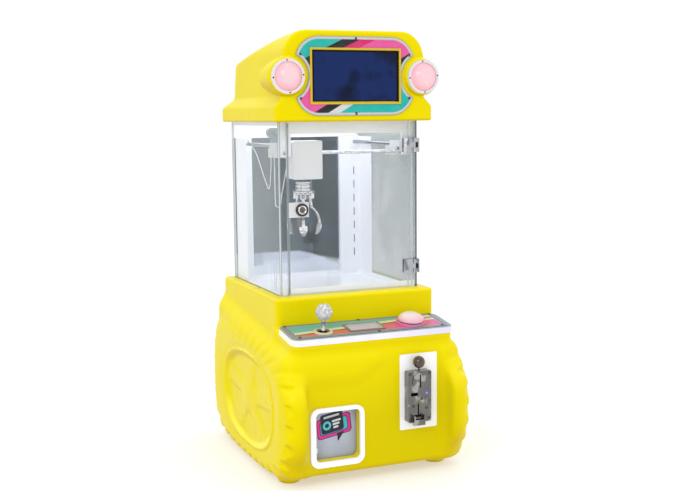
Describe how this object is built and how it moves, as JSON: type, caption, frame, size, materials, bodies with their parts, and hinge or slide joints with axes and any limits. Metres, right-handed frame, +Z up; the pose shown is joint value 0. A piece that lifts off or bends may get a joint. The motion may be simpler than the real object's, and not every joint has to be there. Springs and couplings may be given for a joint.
{
  "type": "claw crane machine",
  "caption": "Countertop claw crane machine: car-shaped yellow base, mirror-backed glass cabin with gantry and claw, and a lit marquee with a screen.",
  "frame": {"origin": "on the floor, under the middle of the overall box", "axes": "+X to the viewer's right, +Y towards the back, +Z up"},
  "size_m": [0.5, 0.64, 1.097],
  "materials": {
    "body_yellow": "glossy yellow moulded fibreglass",
    "pad_rubber": "matt black",
    "panel_print": "printed panel in teal, cream, brown and rose stripes with a grey border",
    "lit_white": "lit white diffuser",
    "dark_screw": "dark screws",
    "black_plastic": "black plastic",
    "cream_plastic": "cream ring",
    "steel": "bare steel",
    "chrome": "bright chrome",
    "clear_ball": "clear acrylic ball",
    "window_lilac": "pale lilac score window with a grey frame",
    "pink_plastic": "pink plastic",
    "dome_pink": "translucent pale pink dome",
    "floor_white": "lit white floor",
    "clear_acrylic": "clear panel",
    "grey_plastic": "pale grey",
    "flap_smoke": "smoky flap with a bubble sticker",
    "white_paint": "white powder coat",
    "dark_chrome": "dark polished plate",
    "validator_blue": "blue plastic",
    "galvanised": "galvanised sheet",
    "mirror_dark": "tinted mirror",
    "motor_grey": "grey motor",
    "cover_grey": "light grey moulded cover",
    "cord_white": "white cord",
    "loom_white": "white wiring loom",
    "glass": "clear glass",
    "plate_print": "printed face plate in teal, rose, black and white bands with a silver trim",
    "gold": "gold frame",
    "screen": "dark screen",
    "white_plastic": "white plastic",
    "box_grey": "dark grey sheet metal"
  },
  "bodies": {
    "cabinet": {"base_shell": "body_yellow", "foot_pads": "pad_rubber", "control_panel": "panel_print", "panel_light_strip": "lit_white", "pan_screws": "dark_screw", "joystick_housing": "black_plastic", "joystick_collar": "cream_plastic", "display_unit": "window_lilac", "button_housing": "pink_plastic", "playfield_tray": "floor_white", "chute_fence": "clear_acrylic", "prize_chute": "grey_plastic", "prize_light_frame": "lit_white", "flap_hinge_rod": "steel", "coin_backplate": "white_paint", "coin_faceplate": "dark_chrome", "coin_validator": "validator_blue", "cash_box": "galvanised", "rear_posts": "white_paint", "back_mirror": "mirror_dark", "side_glasses": "clear_acrylic", "header_frame": "white_paint", "ceiling_panel": "lit_white", "side_rails": "chrome", "rail_loom": "loom_white", "hinge_mounts": "chrome", "marquee_shell": "body_yellow", "marquee_plate": "plate_print", "screen_frame": "gold", "screen_panel": "screen", "lamp_rings": "white_plastic", "lamp_domes": "dome_pink", "rear_hinge": "steel", "control_box": "box_grey", "power_inlet": "black_plastic"},
    "joystick_yoke": {"joystick_gimbal": "steel"},
    "joystick_stick": {"joystick_shaft": "steel", "joystick_ball": "clear_ball"},
    "drop_button": {"button_dome": "dome_pink"},
    "coin_return": {"coin_knob": "chrome"},
    "prize_door": {"prize_flap": "flap_smoke"},
    "bridge": {"bridge_trucks": "cover_grey", "bridge_rods": "chrome", "bridge_motor": "motor_grey", "hoist_loom": "loom_white"},
    "hoist": {"hoist_frame": "galvanised", "hoist_cover": "cover_grey", "hoist_cord": "cord_white"},
    "claw": {"claw_body": "chrome"},
    "drum": {"winch_drum": "black_plastic"},
    "finger_1": {"claw_finger_1": "chrome"},
    "finger_2": {"claw_finger_2": "chrome"},
    "finger_3": {"claw_finger_3": "chrome"},
    "plunger": {"claw_plunger": "steel"},
    "glass_door": {"door_glass": "glass", "door_hinges": "chrome", "door_lock_case": "white_plastic"},
    "door_lock": {"door_lock_plug": "dark_chrome"},
    "service_door": {"rear_door": "body_yellow"},
    "service_lock": {"rear_lock_plug": "chrome"}
  },
  "joints": [
    {"name": "joystick_tilt_back", "type": "hinge", "parent": "cabinet", "child": "joystick_yoke", "pos_m": [-0.12, -0.22154, 0.3374], "axis": [1, 0, 0], "range_deg": [-12, 12], "stiffness_Nm_per_rad": 0.4},
    {"name": "joystick_tilt_side", "type": "hinge", "parent": "joystick_yoke", "child": "joystick_stick", "pos_m": [-0.12, -0.22154, 0.3374], "axis": [0, 0.99, 0.1409], "range_deg": [-12, 12], "stiffness_Nm_per_rad": 0.4},
    {"name": "drop_button_press", "type": "slide", "parent": "cabinet", "child": "drop_button", "axis": [0, 0.1409, -0.99], "range_m": [0, 0.005], "stiffness_N_per_m": 400, "springref_m": -0.006},
    {"name": "coin_return_press", "type": "slide", "parent": "cabinet", "child": "coin_return", "axis": [0, 0, -1], "range_m": [0, 0.006], "stiffness_N_per_m": 300, "springref_m": -0.008},
    {"name": "prize_door_swing", "type": "hinge", "parent": "cabinet", "child": "prize_door", "pos_m": [-0.1, -0.24, 0.19], "axis": [1, 0, 0], "range_deg": [0, 75]},
    {"name": "bridge_travel", "type": "slide", "parent": "cabinet", "child": "bridge", "axis": [0, 1, 0], "range_m": [0, 0.235]},
    {"name": "hoist_travel", "type": "slide", "parent": "bridge", "child": "hoist", "axis": [1, 0, 0], "range_m": [0, 0.2]},
    {"name": "claw_lower", "type": "slide", "parent": "hoist", "child": "claw", "axis": [0, 0, -1], "range_m": [0, 0.14], "deforming": ["hoist_cord"]},
    {"name": "drum_turn", "type": "hinge", "parent": "hoist", "child": "drum", "pos_m": [-0.102, -0.05, 0.757], "axis": [1, 0, 0], "range_deg": [0, 803]},
    {"name": "finger_1_close", "type": "hinge", "parent": "claw", "child": "finger_1", "pos_m": [-0.11283, -0.04562, 0.688], "axis": [-0.7986, -0.6018, 0], "range_deg": [0, 17], "stiffness_Nm_per_rad": 0.1, "springref_deg": -17.19},
    {"name": "finger_2_close", "type": "hinge", "parent": "claw", "child": "finger_2", "pos_m": [-0.10903, -0.07657, 0.688], "axis": [0.9205, -0.3907, 0], "range_deg": [0, 17]},
    {"name": "finger_3_close", "type": "hinge", "parent": "claw", "child": "finger_3", "pos_m": [-0.08413, -0.05781, 0.688], "axis": [-0.1219, 0.9925, 0], "range_deg": [0, 17]},
    {"name": "plunger_lift", "type": "slide", "parent": "claw", "child": "plunger", "axis": [0, 0, 1], "range_m": [0, 0.012]},
    {"name": "glass_door_swing", "type": "hinge", "parent": "cabinet", "child": "glass_door", "pos_m": [0.181, -0.1195, 0.66], "axis": [0, 0, 1], "range_deg": [0, 110]},
    {"name": "door_lock_turn", "type": "hinge", "parent": "glass_door", "child": "door_lock", "pos_m": [-0.131, -0.117, 0.6595], "axis": [0, 1, 0], "range_deg": [0, 90]},
    {"name": "service_door_swing", "type": "hinge", "parent": "cabinet", "child": "service_door", "pos_m": [-0.1335, 0.29, 0.19], "axis": [0, 0, 1], "range_deg": [0, 110]},
    {"name": "service_lock_turn", "type": "hinge", "parent": "service_door", "child": "service_lock", "pos_m": [0.108, 0.285, 0.19], "axis": [0, -1, 0], "range_deg": [0, 90]}
  ],
  "couplings": [
    {"joint": "drum_turn", "follows": "claw_lower", "rad_per_m": 100},
    {"joint": "finger_2_close", "follows": "finger_1_close", "ratio": 1},
    {"joint": "finger_3_close", "follows": "finger_1_close", "ratio": 1},
    {"joint": "plunger_lift", "follows": "finger_1_close", "m_per_rad": 0.0381}
  ]
}
